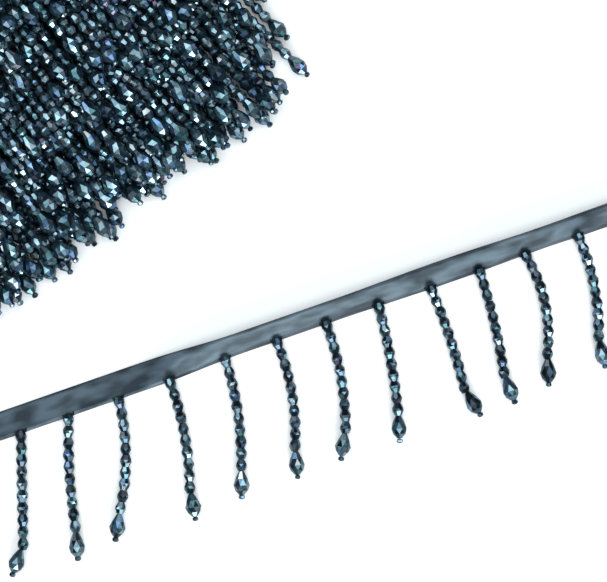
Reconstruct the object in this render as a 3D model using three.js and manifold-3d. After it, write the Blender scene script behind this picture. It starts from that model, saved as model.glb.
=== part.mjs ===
// A roll of beaded fringe, lying on its side, with its loose end laid out in front of it.
//
// The trim is a satin tape with a strand of cut glass beads every 20 mm along one edge.
// It is wound to and fro into a flat coil. The coil's axis runs along Y, the tape is at the
// back and the strands point forward, where they slump into a heap. The outer end leaves the
// coil at the left, is folded over once, comes forward, bends to the right and lies straight.
// All lengths are in millimetres, with Z up and everything resting on Z = 0. The working
// point is on the floor, under the middle of the coil's front face.

import * as THREE from "three";
import Module from "manifold-3d";

const wasm = await Module();
wasm.setup();

// The trim: a satin tape whose beaded edge is a strip of its own
const TAPE_WIDTH = 10.4;
const TAPE_THICKNESS = 1.2;
const EDGE_STRIP_WIDTH = 1.5;
const CLEARANCE = 0.32;
const STRAND_SPACING = 19.3;
const PLAIN_EDGE = -TAPE_WIDTH / 2;
const BEADED_EDGE = TAPE_WIDTH / 2;
const STRIP_EDGE = BEADED_EDGE - EDGE_STRIP_WIDTH;
const SATIN_EDGE = STRIP_EDGE - CLEARANCE;

// One strand of beads: ten cut beads, a drop and a seed bead that stops the thread
const BEAD_COUNT = 10;
const BEAD_PITCH = 4.35;
const BEAD_RADIUS = 2.1;
const BEAD_NECK_RADIUS = 1.35;
const FIRST_BEAD = 0.9;
const THREAD_RADIUS = 0.45;
const ROOT_RADIUS = 0.9;
const ROOT_INSET = 0.6;
const DROP_LENGTH = 9;
const DROP_RADIUS = 3.1;
const DROP_BELLY_SHARE = 0.58;
const DROP_END_RADIUS = 0.9;
const SEED_RADIUS = 1.15;
const SEED_LENGTH = 1.6;
const SEED_END_RADIUS = 0.6;

// The coil of tape: a flattened oval with its front face on Y = 0 and its middle on X = 0.
// Its back is dished, in rings, where the inner turns sit deeper.
const COIL_HALF_WIDTH = 92.5;
const COIL_HALF_HEIGHT = 19;
const COIL_DEPTH = 12;
const COIL_ARC_STEPS = 10;
const COIL_RING_COUNT = 6;
const COIL_RING_INSET = 2.8;
const COIL_RING_LEDGE = 0.3;
const COIL_RING_WIDENING = 1.45;
const COIL_RING_DROP = 1.4;

// The heap of strands, as steps like a roof's courses. Each row is one step: where it starts
// and ends along Y, and its height and half width there. Its foot is tucked in by `tuck`.
const HEAP_STEPS = [
  { back: -0.3, front: -7, height: [37.6, 37.6], halfWidth: [92, 93], tuck: [12, 9] },
  { back: -8, front: -40, height: [29.5, 29], halfWidth: [88, 97], tuck: [9, 6] },
  { back: -41, front: -63, height: [25, 22.5], halfWidth: [90, 86], tuck: [5, 3] },
  { back: -64, front: -83, height: [17.5, 16], halfWidth: [80, 79], tuck: [2, 0] },
  { back: -84, front: -99, height: [11.4, 9.3], halfWidth: [76, 76], tuck: [0, 0] },
];
const HEAP_SQUARENESS = 2.5;
const HEAP_OUTLINE_STEPS = 16;
const OUTLINE_SAMPLES = 200;
const OUTLINE_STEP = 0.01;

// The strands that show on the heap, one row of them on each step
const LOCK_PITCH = 5.6;
const LOCK_RADIUS = 1.7;
const LOCK_NECK_RADIUS = 1.35;
const LOCK_DROP_RADIUS = 3;
const LOCK_TIP_RADIUS = 0.7;
const LOCK_CLEARANCE = 0.45;
const LOCK_ROOT_DEPTH = 2.5;
const LOCK_LOWEST_DROP = 4.5;
const LOCK_ROWS = [
  { step: 1, length: 53, stagger: 11, jitter: 2 },
  { step: 2, length: 52, stagger: 11, jitter: 2 },
  { step: 3, length: 50, stagger: 11, jitter: 2 },
  { step: 4, length: 41, stagger: 10.5, jitter: 1.5 },
];

// The lowest row lies on the floor and spreads a little. Its tips follow the heap's front edge.
const FLOOR_ROW = {
  halfWidth: 73, spread: 1.08, tipY: -129.3, slope: -0.063, stagger: 9, jitter: 1.5,
};

// The loose end's route: along -X to the fold, back along -Y, round a bend and straight on
const FOLD_X = -127.8;
const FOLD_RADIUS = 0.95;
const FIRST_RUN = 47;
const SIDE_RUN = 117.3;
const BEND_RADIUS = 45;
const BEND_ANGLE = THREE.MathUtils.degToRad(69.2);
const BEND_END = SIDE_RUN + BEND_RADIUS * BEND_ANGLE;
const FRONT_RUN = 265.4;
const FOLD_SETTLE = 34;
const FOLD_SKEW_START = 6;
const FOLD_SKEW_END = 13;
const FLAT_FRONT_RUN = 50;

// The front run twists: its plain edge is raised. Each row turns it by some more degrees
// between two distances from the bend's end. The cloth is also bowed across its width.
const TWISTS = [
  { from: 52, to: 98, by: 41 },
  { from: 138, to: 180, by: -10 },
  { from: 186, to: 216, by: 10 },
  { from: 222, to: 242, by: -4 },
];
const CROSS_BOW = 0.25;
const TWISTED_BOW = 0.5;

// The strands of the front run: distance from the bend's end, and how far each leans from
// square at its root, at its last bead and at its drop, in degrees. The strands at the left
// are strung a little longer than those at the right.
const FRONT_STRANDS = [
  { along: 9.5, root: -18, end: -18, drop: -44 },
  { along: 28.6, root: -22, end: -10, drop: -15 },
  { along: 48.6, root: -4, end: -31, drop: -27 },
  { along: 69.1, root: 2, end: -18, drop: -6 },
  { along: 91.6, root: 0, end: -20, drop: -18 },
  { along: 112.2, root: 5, end: -22, drop: -12 },
  { along: 132.0, root: 3, end: -19, drop: -30 },
  { along: 153.0, root: -4, end: -13, drop: -17 },
  { along: 173.8, root: 5, end: -6, drop: 17 },
  { along: 193.3, root: 0, end: -11, drop: 4 },
  { along: 211.6, root: 15, end: -26, drop: -15 },
  { along: 232.8, root: 7, end: -21, drop: -4 },
  { along: 253.0, root: 1, end: -16, drop: -9 },
];
const LEFT_STRETCH = 1.045;
const RIGHT_STRETCH = 0.955;
const SIDE_STRAND_COUNT = 6;
const BEND_STRAND_COUNT = 3;
const FIRST_SIDE_STRAND = 8.6;
const DROP_LIFT_LENGTH = 17;

// The strands of the side run and the bend lean by a mean that swings from each to the next
const SIDE_LEANS = {
  root: { mean: -6, swing: 5, turn: 1.7, start: 0 },
  end: { mean: -12, swing: 7, turn: 2.9, start: 1 },
  drop: { mean: -10, swing: 16, turn: 4.1, start: 0 },
};

// The one strand between the coil and the fold, with its short stretch of beaded edge
const FIRST_RUN_STRAND = { along: 12.5, root: 0, end: 2, drop: -6 };
const FIRST_RUN_STRIP = { from: 8, to: 24 };

const SATIN = { color: 0x5f707c, roughness: 0.42, metalness: 0.0 };
const CUT_GLASS = { color: 0x23485e, roughness: 0.12, metalness: 0.35 };

// A small repeatable stream of numbers from 0 to 1
function seededRandom(seed) {
  let state = seed;
  return () => {
    state = (state * 1664525 + 1013904223) % 4294967296;
    return state / 4294967296;
  };
}

// A closed solid through rings that all have the same number of corners
function solidFromRings(rings) {
  const corners = rings[0].length;
  const points = rings.flat();
  const faces = [];
  for (let ring = 0; ring + 1 < rings.length; ring += 1) {
    for (let corner = 0; corner < corners; corner += 1) {
      const here = ring * corners + corner;
      const beside = ring * corners + ((corner + 1) % corners);
      faces.push([here, beside, beside + corners], [here, beside + corners, here + corners]);
    }
  }
  const last = (rings.length - 1) * corners;
  for (let corner = 1; corner + 1 < corners; corner += 1) {
    faces.push([0, corner + 1, corner], [last, last + corner, last + corner + 1]);
  }
  if (signedVolume(points, faces) < 0) {
    faces.forEach((face) => face.reverse());
  }
  const geometry = new THREE.BufferGeometry();
  const numbers = points.flatMap((point) => point.toArray());
  geometry.setAttribute("position", new THREE.Float32BufferAttribute(numbers, 3));
  geometry.setIndex(faces.flat());
  return geometry;
}

function signedVolume(points, faces) {
  const cross = new THREE.Vector3();
  let volume = 0;
  for (const [first, second, third] of faces) {
    cross.crossVectors(points[second], points[third]);
    volume += points[first].dot(cross) / 6;
  }
  return volume;
}

function toManifold(geometry) {
  return new wasm.Manifold(new wasm.Mesh({
    numProp: 3,
    vertProperties: new Float32Array(geometry.attributes.position.array),
    triVerts: new Uint32Array(geometry.index.array),
  }));
}

// One solid from overlapping closed pieces
function joined(pieces) {
  let whole = toManifold(pieces[0]);
  for (const piece of pieces.slice(1)) {
    whole = whole.add(toManifold(piece));
  }
  const mesh = whole.getMesh();
  const geometry = new THREE.BufferGeometry();
  geometry.setAttribute("position", new THREE.Float32BufferAttribute(mesh.vertProperties, 3));
  geometry.setIndex(Array.from(mesh.triVerts));
  return geometry;
}

function namedMesh(name, geometry, finish) {
  const mesh = new THREE.Mesh(geometry, new THREE.MeshStandardMaterial(finish));
  mesh.name = name;
  return mesh;
}

// Four corners around a middle point, square to a strand's run
function squareRing(middle, side, up, radius) {
  const across = side.clone().multiplyScalar(radius);
  const rise = up.clone().multiplyScalar(radius);
  return [
    middle.clone().sub(across).sub(rise),
    middle.clone().add(across).sub(rise),
    middle.clone().add(across).add(rise),
    middle.clone().sub(across).add(rise),
  ];
}

// Heap

// The cross-section of one heap step at its back (end 0) or its front (end 1), past the front
// by extending the step's slope. Points are evenly spaced from foot to foot over the crest.
function heapOutline(step, end) {
  const at = (pair) => pair[0] + (pair[1] - pair[0]) * end;
  const height = at(step.height);
  const halfWidth = at(step.halfWidth);
  const tuck = Math.max(0, at(step.tuck));
  const points = [];
  const lengths = [0];
  for (let index = 0; index <= OUTLINE_SAMPLES; index += 1) {
    const turn = (Math.PI * index) / OUTLINE_SAMPLES;
    const power = 2 / HEAP_SQUARENESS;
    const z = height * Math.abs(Math.sin(turn)) ** power;
    const low = Math.max(0, 1 - (2 * z) / height);
    const reach = halfWidth * Math.abs(Math.cos(turn)) ** power - tuck * low * low;
    const x = -Math.sign(Math.cos(turn)) * reach;
    points.push(new THREE.Vector2(x, z));
    if (index > 0) {
      lengths.push(lengths[index - 1] + points[index].distanceTo(points[index - 1]));
    }
  }
  return { points, lengths, total: lengths[OUTLINE_SAMPLES] };
}

function outlinePoint(outline, share) {
  const target = share * outline.total;
  let index = outline.lengths.findIndex((length) => length >= target);
  index = Math.max(1, index);
  const before = outline.lengths[index - 1];
  const mix = (target - before) / (outline.lengths[index] - before);
  return outline.points[index - 1].clone().lerp(outline.points[index], mix);
}

function heapRing(step, end) {
  const outline = heapOutline(step, end);
  const y = end === 0 ? step.back : step.front;
  const ring = [];
  for (let index = 0; index <= HEAP_OUTLINE_STEPS; index += 1) {
    const point = outlinePoint(outline, index / HEAP_OUTLINE_STEPS);
    ring.push(new THREE.Vector3(point.x, y, Math.max(0, point.y)));
  }
  return ring;
}

function heapCore() {
  return solidFromRings(HEAP_STEPS.flatMap((step) => [heapRing(step, 0), heapRing(step, 1)]));
}

// How far from its root the drop of a plain strand is widest
function lockBelly(length) {
  return length - DROP_LENGTH * (1 - DROP_BELLY_SHARE);
}

// The middle, side and up direction of the cloth of strands on a heap step, for a share of
// the way across it and a distance forward
function lockFrame(step, share, along, radius) {
  const outline = heapOutline(step, along / (step.back - step.front));
  const before = outlinePoint(outline, share - OUTLINE_STEP);
  const beside = outlinePoint(outline, share + OUTLINE_STEP);
  const point = outlinePoint(outline, share);
  const side = new THREE.Vector3(beside.x - before.x, 0, beside.y - before.y).normalize();
  const up = new THREE.Vector3(-side.z, 0, side.x);
  const middle = new THREE.Vector3(point.x, step.back - along, point.y);
  middle.addScaledVector(up, LOCK_CLEARANCE + radius);
  return { middle, side, up };
}

// A plain strand along a straight line, with a drop at its end. `frameAt` gives the middle,
// the side and the up direction for a distance from the root and a radius.
function plainStrand(length, frameAt) {
  const sections = [
    { along: -LOCK_ROOT_DEPTH, radius: LOCK_RADIUS },
    { along: length / 2, radius: LOCK_RADIUS },
    { along: length - DROP_LENGTH, radius: LOCK_NECK_RADIUS },
    { along: lockBelly(length), radius: LOCK_DROP_RADIUS },
    { along: length, radius: LOCK_TIP_RADIUS },
  ];
  return solidFromRings(sections.map(({ along, radius }) => {
    const { middle, side, up } = frameAt(along, radius);
    return squareRing(middle, side, up, radius);
  }));
}

// One row of strands, lying side by side on a heap step and hanging over its front edge
function lockRow(row, random) {
  const step = HEAP_STEPS[row.step];
  const count = Math.floor(heapOutline(step, 0).total / LOCK_PITCH);
  const locks = [];
  for (let index = 0; index < count; index += 1) {
    const share = (index + 0.5) / count;
    const length = row.length - (index % 2) * row.stagger + (random() - 0.5) * row.jitter;
    const frameAt = (along, radius) => lockFrame(step, share, along, radius);
    const drop = frameAt(lockBelly(length), LOCK_DROP_RADIUS).middle;
    if (drop.z > LOCK_LOWEST_DROP) {
      locks.push(plainStrand(length, frameAt));
    }
  }
  return locks;
}

// The lowest row of strands, flat on the floor in front of the heap
function floorRow(random) {
  const startY = HEAP_STEPS.at(-1).front;
  const up = new THREE.Vector3(0, 0, 1);
  const count = Math.floor((2 * FLOOR_ROW.halfWidth) / LOCK_PITCH);
  const locks = [];
  for (let index = 0; index <= count; index += 1) {
    const offset = (index / count - 0.5) * 2 * FLOOR_ROW.halfWidth;
    const root = new THREE.Vector3(offset, startY, 0);
    const tipX = offset * FLOOR_ROW.spread;
    const jitter = (random() - 0.5) * FLOOR_ROW.jitter + (index % 2) * FLOOR_ROW.stagger;
    const tip = new THREE.Vector3(tipX, FLOOR_ROW.tipY + FLOOR_ROW.slope * tipX + jitter, 0);
    const heading = tip.clone().sub(root);
    const length = heading.length();
    heading.normalize();
    const side = new THREE.Vector3().crossVectors(heading, up);
    locks.push(plainStrand(length, (along, radius) => {
      const middle = root.clone().addScaledVector(heading, along);
      middle.z = radius;
      return { middle, side, up };
    }));
  }
  return locks;
}

function rolledFringe() {
  const random = seededRandom(7);
  const rows = LOCK_ROWS.flatMap((row) => lockRow(row, random));
  return namedMesh("rolled_fringe", joined([heapCore(), ...rows, ...floorRow(random)]), CUT_GLASS);
}

// Coil

// One oval of the coil, set in from the outermost turn by `inset`
function coilRing(inset, y) {
  const radius = COIL_HALF_HEIGHT - inset;
  const straight = COIL_HALF_WIDTH - COIL_RING_WIDENING * inset - radius;
  const ring = [];
  for (const end of [-1, 1]) {
    for (let index = 0; index <= COIL_ARC_STEPS; index += 1) {
      const turn = Math.PI * (index / COIL_ARC_STEPS - 0.5);
      const x = end * (straight + radius * Math.cos(turn));
      const z = COIL_HALF_HEIGHT + end * radius * Math.sin(turn);
      ring.push(new THREE.Vector3(x, y, z));
    }
  }
  return ring;
}

function rolledTape() {
  const rings = [coilRing(0, 0)];
  for (let index = 0; index < COIL_RING_COUNT; index += 1) {
    const y = COIL_DEPTH - index * COIL_RING_DROP;
    const ledge = index === 0 ? 0 : COIL_RING_LEDGE;
    rings.push(coilRing(index * COIL_RING_INSET + ledge, y));
    rings.push(coilRing((index + 1) * COIL_RING_INSET, y));
  }
  return namedMesh("rolled_tape", solidFromRings(rings), SATIN);
}

// Loose end

// The middle line of the loose end past the fold, at a distance from the fold: the point,
// and the side on which the strands hang
function routeAt(distance) {
  const turned = THREE.MathUtils.clamp((distance - SIDE_RUN) / BEND_RADIUS, 0, BEND_ANGLE);
  const heading = -Math.PI / 2 + turned;
  const forward = new THREE.Vector3(Math.cos(heading), Math.sin(heading), 0);
  const side = new THREE.Vector3(forward.y, -forward.x, 0);
  const point = new THREE.Vector3(FOLD_X, BEADED_EDGE - Math.min(distance, SIDE_RUN), 0);
  if (distance > SIDE_RUN) {
    point.x += BEND_RADIUS;
    point.addScaledVector(side, BEND_RADIUS);
    point.addScaledVector(forward, Math.max(0, distance - BEND_END));
  }
  return { point, side };
}

// How far the tape is turned about its length, with its plain edge up
function twistAt(distance) {
  const along = distance - BEND_END;
  const turned = TWISTS.map(({ from, to, by }) => by * THREE.MathUtils.smoothstep(along, from, to));
  return THREE.MathUtils.degToRad(turned.reduce((sum, part) => sum + part, 0));
}

// A point in the thickness of the loose end past the fold. The beaded edge stays on the
// floor. Close to the fold the cloth still lies on the layer below.
function tapePoint(distance, across, offset) {
  const { point, side } = routeAt(distance);
  const twist = twistAt(distance);
  const settled = THREE.MathUtils.smoothstep(distance, TAPE_WIDTH, FOLD_SETTLE);
  const crown = 1 - (across / BEADED_EDGE) ** 2;
  const bow = settled * crown * (CROSS_BOW + TWISTED_BOW * Math.sin(twist));
  point.addScaledVector(side, across * Math.cos(twist) + offset * Math.sin(twist));
  point.z = (TAPE_THICKNESS / 2 + offset) * Math.cos(twist);
  point.z += (BEADED_EDGE - across) * Math.sin(twist);
  point.z += 2 * FOLD_RADIUS * (1 - settled) + bow;
  return point;
}

// A point of the tape before or in the fold. `depth` is the distance beyond the crease line.
function foldedPoint(depth, across, offset) {
  const bend = Math.PI * FOLD_RADIUS;
  const turn = THREE.MathUtils.clamp((depth + bend / 2) / FOLD_RADIUS, 0, Math.PI);
  const flatPart = Math.min(0, depth + bend / 2) - bend / 2;
  const radius = FOLD_RADIUS - offset;
  const lateral = flatPart + radius * Math.sin(turn);
  return new THREE.Vector3(
    FOLD_X - across - lateral * Math.SQRT1_2,
    BEADED_EDGE - across + lateral * Math.SQRT1_2,
    TAPE_THICKNESS / 2 + FOLD_RADIUS - radius * Math.cos(turn),
  );
}

// The corners of a slice of cloth between two edges. The cloth is face up before the fold and
// face down past it, so `face` is 1 or -1.
function slice(edges, face, pointAt) {
  const half = (face * TAPE_THICKNESS) / 2;
  const lower = edges.map((across) => pointAt(across, -half));
  const upper = edges.map((across) => pointAt(across, half));
  return [...lower, ...upper.reverse()];
}

const TAPE_EDGES = [PLAIN_EDGE, (PLAIN_EDGE + SATIN_EDGE) / 2, SATIN_EDGE];
const STRIP_EDGES = [STRIP_EDGE, BEADED_EDGE];

// A slice of the first run, square to the tape, at a distance before the fold
function firstRunSlice(edges, distance) {
  return slice(edges, 1, (across, offset) => new THREE.Vector3(
    FOLD_X + distance,
    BEADED_EDGE - across,
    TAPE_THICKNESS / 2 + offset,
  ));
}

// A slice parallel to the crease
function creaseSlice(depth) {
  return slice(TAPE_EDGES, 1, (across, offset) => foldedPoint(depth, across, offset));
}

// A slice past the fold, skewed while it leaves the crease
function routeSlice(edges, distance, skew = 0) {
  return slice(edges, -1, (across, offset) => tapePoint(distance + skew * across, across, offset));
}

function steps(from, to, count) {
  return Array.from({ length: count + 1 }, (_, index) => from + ((to - from) * index) / count);
}

function looseTape() {
  const bend = Math.PI * FOLD_RADIUS;
  const straight = (from, to, count) => steps(from, to, count).map((at) => routeSlice(TAPE_EDGES, at));
  const rings = [
    firstRunSlice(TAPE_EDGES, FIRST_RUN),
    firstRunSlice(TAPE_EDGES, TAPE_WIDTH),
    ...steps(-bend / 2, bend / 2, 6).map(creaseSlice),
    routeSlice(TAPE_EDGES, FOLD_SKEW_START, 1),
    ...straight(FOLD_SKEW_END, FOLD_SETTLE, 5),
    ...straight(SIDE_RUN, BEND_END, 9),
    ...straight(BEND_END + FLAT_FRONT_RUN, BEND_END + FRONT_RUN, 18),
  ];
  return namedMesh("loose_tape", solidFromRings(rings), SATIN);
}

// The beaded edge that carries the strands, parted from the tape by a narrow gap
function edgeStrip(from, to, count) {
  return solidFromRings(steps(from, to, count).map((distance) => routeSlice(STRIP_EDGES, distance)));
}

// The thickness of a beaded strand along its length, from the root to the seed bead. The
// beads' pitch is stretched by a factor.
function strandProfile(stretch) {
  const pitch = BEAD_PITCH * stretch;
  const sections = [{ along: -ROOT_INSET, radius: THREAD_RADIUS }, { along: 0, radius: ROOT_RADIUS }];
  for (let bead = 0; bead < BEAD_COUNT; bead += 1) {
    const middle = FIRST_BEAD + bead * pitch;
    sections.push({ along: middle, radius: BEAD_RADIUS });
    sections.push({ along: middle + pitch / 2, radius: BEAD_NECK_RADIUS });
  }
  const dropStart = beadsLength(stretch);
  const dropEnd = dropStart + DROP_LENGTH;
  sections.push({ along: dropStart + DROP_LENGTH * DROP_BELLY_SHARE, radius: DROP_RADIUS });
  sections.push({ along: dropEnd, radius: DROP_END_RADIUS });
  sections.push({ along: dropEnd + SEED_LENGTH / 2, radius: SEED_RADIUS });
  sections.push({ along: dropEnd + SEED_LENGTH, radius: SEED_END_RADIUS });
  return sections;
}

function beadsLength(stretch) {
  return FIRST_BEAD + (BEAD_COUNT - 0.5) * BEAD_PITCH * stretch;
}

// How high a strand's middle lies: level with its root, then on the floor on its widest beads
function strandHeight(along, rootHeight, stretch) {
  const dropMiddle = beadsLength(stretch) + DROP_LENGTH * DROP_BELLY_SHARE;
  const onBeads = THREE.MathUtils.smoothstep(along, -ROOT_INSET, FIRST_BEAD);
  const onDrop = THREE.MathUtils.smoothstep(along, dropMiddle - DROP_LIFT_LENGTH, dropMiddle);
  const resting = BEAD_RADIUS + (DROP_RADIUS - BEAD_RADIUS) * onDrop;
  return rootHeight + (resting - rootHeight) * onBeads;
}

// One beaded strand on the floor. It turns evenly from its heading at the root to its heading
// at the last bead, and the drop takes a heading of its own. `square` is the heading square to
// the tape, and the leans from it are in degrees.
function beadedStrand(root, square, leans, stretch) {
  const headingOf = (lean) => square + THREE.MathUtils.degToRad(lean);
  const beadsEnd = beadsLength(stretch);
  const up = new THREE.Vector3(0, 0, 1);
  const middle = root.clone();
  let reached = -ROOT_INSET;
  const rings = strandProfile(stretch).map(({ along, radius }) => {
    const share = THREE.MathUtils.clamp(along / beadsEnd, 0, 1);
    const swing = THREE.MathUtils.smoothstep(along, beadsEnd - 1, beadsEnd + DROP_LENGTH / 2);
    const onBeads = leans.root + (leans.end - leans.root) * share;
    const heading = headingOf(onBeads + (leans.drop - onBeads) * swing);
    const forward = new THREE.Vector3(Math.cos(heading), Math.sin(heading), 0);
    middle.addScaledVector(forward, along - reached);
    reached = along;
    const side = new THREE.Vector3().crossVectors(forward, up);
    const centre = middle.clone();
    centre.z = Math.max(radius, strandHeight(along, root.z, stretch));
    return squareRing(centre, side, up, radius);
  });
  return solidFromRings(rings);
}

// The strand at a distance from the fold
function strandOnRoute(distance, leans) {
  const root = tapePoint(distance, BEADED_EDGE - ROOT_INSET, 0);
  const { side } = routeAt(distance);
  const share = THREE.MathUtils.clamp((distance - BEND_END) / FRONT_RUN, 0, 1);
  const stretch = LEFT_STRETCH + (RIGHT_STRETCH - LEFT_STRETCH) * share;
  return beadedStrand(root, Math.atan2(side.y, side.x), leans, stretch);
}

// A strand of the side run or the bend, counted from the fold
function sideStrand(index) {
  const lean = ({ mean, swing, turn, start }) => mean + swing * Math.sin(turn * index + start);
  return strandOnRoute(FIRST_SIDE_STRAND + index * STRAND_SPACING, {
    root: lean(SIDE_LEANS.root),
    end: lean(SIDE_LEANS.end),
    drop: lean(SIDE_LEANS.drop),
  });
}

// The beaded edge is cut into stretches, each with its strands, a small gap apart
const SIDE_STRIP = { from: FIRST_SIDE_STRAND - 3, to: SIDE_RUN - 2 };
const BEND_STRIP = { from: SIDE_STRIP.to + CLEARANCE, to: BEND_END + 1 };
const FRONT_STRIP = { from: BEND_STRIP.to + CLEARANCE, to: BEND_END + FRONT_RUN };

function looseFringeFront() {
  const strip = edgeStrip(FRONT_STRIP.from, FRONT_STRIP.to, 22);
  const strands = FRONT_STRANDS.map((row) => strandOnRoute(BEND_END + row.along, row));
  return namedMesh("loose_fringe_front", joined([strip, ...strands]), CUT_GLASS);
}

function looseFringeBend() {
  const strip = edgeStrip(BEND_STRIP.from, BEND_STRIP.to, 9);
  const strands = Array.from({ length: BEND_STRAND_COUNT }, (_, index) => (
    sideStrand(SIDE_STRAND_COUNT + index)
  ));
  return namedMesh("loose_fringe_bend", joined([strip, ...strands]), CUT_GLASS);
}

function looseFringeSide() {
  const strip = edgeStrip(SIDE_STRIP.from, SIDE_STRIP.to, 8);
  const strands = Array.from({ length: SIDE_STRAND_COUNT }, (_, index) => sideStrand(index));
  return namedMesh("loose_fringe_side", joined([strip, ...strands]), CUT_GLASS);
}

// The single strand between the coil and the fold
function looseFringeStart() {
  const { from, to } = FIRST_RUN_STRIP;
  const strip = solidFromRings([firstRunSlice(STRIP_EDGES, from), firstRunSlice(STRIP_EDGES, to)]);
  const root = new THREE.Vector3(FOLD_X + FIRST_RUN_STRAND.along, ROOT_INSET, TAPE_THICKNESS / 2);
  const strand = beadedStrand(root, -Math.PI / 2, FIRST_RUN_STRAND, 1);
  return namedMesh("loose_fringe_start", joined([strip, strand]), CUT_GLASS);
}

const roll = new THREE.Group();
roll.add(rolledTape(), rolledFringe(), looseTape());
roll.add(looseFringeStart(), looseFringeSide(), looseFringeBend(), looseFringeFront());

// The reference point is on the floor, under the middle of the whole thing
const extent = new THREE.Box3().setFromObject(roll);
const middle = extent.getCenter(new THREE.Vector3());
roll.position.set(-middle.x, -middle.y, -extent.min.z);

export default roll;
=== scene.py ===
# %% [markdown]
# # A roll of beaded fringe
# Beaded fringe is a trim for cushions, lampshades and stage dresses: a satin tape with strands
# of cut glass beads along one edge. Here it lies as a roll on its side, with the loose end
# folded over and laid out straight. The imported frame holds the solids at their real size. This
# lesson puts the real surface on them: the tape's turns, some five thousand beads, and light.

# %% Load the frame
import math

import bpy
import numpy as np
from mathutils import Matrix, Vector


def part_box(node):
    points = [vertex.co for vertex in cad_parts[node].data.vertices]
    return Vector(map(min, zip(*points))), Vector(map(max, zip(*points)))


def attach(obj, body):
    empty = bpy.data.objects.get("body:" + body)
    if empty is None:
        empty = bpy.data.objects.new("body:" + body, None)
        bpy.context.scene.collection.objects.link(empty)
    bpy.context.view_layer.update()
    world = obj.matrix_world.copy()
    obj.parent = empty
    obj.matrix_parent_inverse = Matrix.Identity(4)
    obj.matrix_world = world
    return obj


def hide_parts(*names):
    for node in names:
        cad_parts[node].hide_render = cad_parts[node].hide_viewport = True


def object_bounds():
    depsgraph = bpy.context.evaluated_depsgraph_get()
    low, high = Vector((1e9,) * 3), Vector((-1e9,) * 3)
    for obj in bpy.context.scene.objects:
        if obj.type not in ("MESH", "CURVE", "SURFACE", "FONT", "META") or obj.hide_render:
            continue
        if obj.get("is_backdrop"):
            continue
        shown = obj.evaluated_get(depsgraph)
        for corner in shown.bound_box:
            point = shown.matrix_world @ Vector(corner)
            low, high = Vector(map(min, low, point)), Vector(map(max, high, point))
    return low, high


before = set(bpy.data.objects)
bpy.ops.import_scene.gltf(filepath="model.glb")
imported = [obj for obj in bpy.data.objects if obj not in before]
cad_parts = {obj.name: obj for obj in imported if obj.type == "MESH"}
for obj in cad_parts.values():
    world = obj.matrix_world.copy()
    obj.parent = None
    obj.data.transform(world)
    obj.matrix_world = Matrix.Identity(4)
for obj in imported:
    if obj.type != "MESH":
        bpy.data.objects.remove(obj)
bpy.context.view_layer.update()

# %% [markdown]
# ## Where things are
# Every length below is in millimetres, and is measured from one easy point: on the floor, under
# the middle of the coil's front face. The frame gives that point, so it isn't placed by eye.
# A single function turns such lengths into Blender's metres when a mesh is made.

# %% The working point
METRES_PER_MM = 0.001
MM_PER_METRE = 1000
coil_low, coil_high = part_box("rolled_tape")
WORK_POINT = np.array([(coil_low.x + coil_high.x) / 2, coil_low.y, 0.0])
COIL_HALF_WIDTH = (coil_high.x - coil_low.x) / 2 * MM_PER_METRE
COIL_HALF_HEIGHT = (coil_high.z - coil_low.z) / 2 * MM_PER_METRE


def to_metres(points):
    return np.asarray(points, float) * METRES_PER_MM + WORK_POINT


print("the coil is", round(COIL_HALF_WIDTH * 2), "by", round(COIL_HALF_HEIGHT * 2), "mm")

# %% [markdown]
# ## The camera
# The photograph looks straight down from far enough away that nothing leans. A long lens does
# the same. The picture is turned by 40 degrees against the coil, so that the strands run down
# to the right, and one millimetre of table is 2.65 pixels wide.

# %% Camera
PIXELS_PER_MM = 2.65
PICTURE_WIDTH = 607
CAMERA_TURN = math.radians(-40)
CAMERA_AIM = (24.65, -189.74, 3.0)
SENSOR_WIDTH = 36.0
LENS = 100.0

camera_data = bpy.data.cameras.new("camera")
camera_data.sensor_width = SENSOR_WIDTH
camera_data.lens = LENS
camera = bpy.data.objects.new("camera", camera_data)
bpy.context.scene.collection.objects.link(camera)
bpy.context.scene.camera = camera
distance = PICTURE_WIDTH / PIXELS_PER_MM * LENS / SENSOR_WIDTH
camera.location = to_metres(np.add(CAMERA_AIM, (0, 0, distance)))
camera.rotation_euler = (0, 0, CAMERA_TURN)
print("the camera is", round(distance), "mm above the table")

# %% [markdown]
# ## Table
# A plain pale table keeps the eye on the trim. One flat face with a faint mottle is enough. It
# is marked as scenery, so that it doesn't count as a piece of the object.

# %% Table
FLOOR_SIZE = 6.0


def new_material(name):
    material = bpy.data.materials.new(name)
    material.use_nodes = True
    nodes = material.node_tree.nodes
    return material, nodes, material.node_tree.links, nodes["Principled BSDF"]


def floor_material():
    material, nodes, links, shader = new_material("pale_table")
    noise = nodes.new("ShaderNodeTexNoise")
    noise.inputs["Scale"].default_value = 40.0
    ramp = nodes.new("ShaderNodeValToRGB")
    ramp.color_ramp.elements[0].color = (0.88, 0.885, 0.89, 1)
    ramp.color_ramp.elements[1].color = (0.92, 0.92, 0.92, 1)
    links.new(noise.outputs["Fac"], ramp.inputs["Fac"])
    links.new(ramp.outputs["Color"], shader.inputs["Base Color"])
    shader.inputs["Roughness"].default_value = 0.9
    shader.inputs["Specular IOR Level"].default_value = 0.1
    return material


floor_mesh = bpy.data.meshes.new("table")
half = FLOOR_SIZE / 2
corners = [(-half, -half, 0), (half, -half, 0), (half, half, 0), (-half, half, 0)]
floor_mesh.from_pydata(corners, [], [(0, 1, 2, 3)])
floor = bpy.data.objects.new("table", floor_mesh)
bpy.context.scene.collection.objects.link(floor)
floor_mesh.materials.append(floor_material())
floor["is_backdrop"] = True
print("the table is", FLOOR_SIZE, "m wide")

# %% [markdown]
# ## Light
# Cut glass shows what surrounds it. One wide light overhead puts a pale dot on the top facet of
# each bead, and a dim background leaves the other facets dark. A low light in front shines on
# the satin where it leans. All are sun lights, which are made soft by a width seen from the
# table, so that they light a small thing and a wide table evenly.

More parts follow.
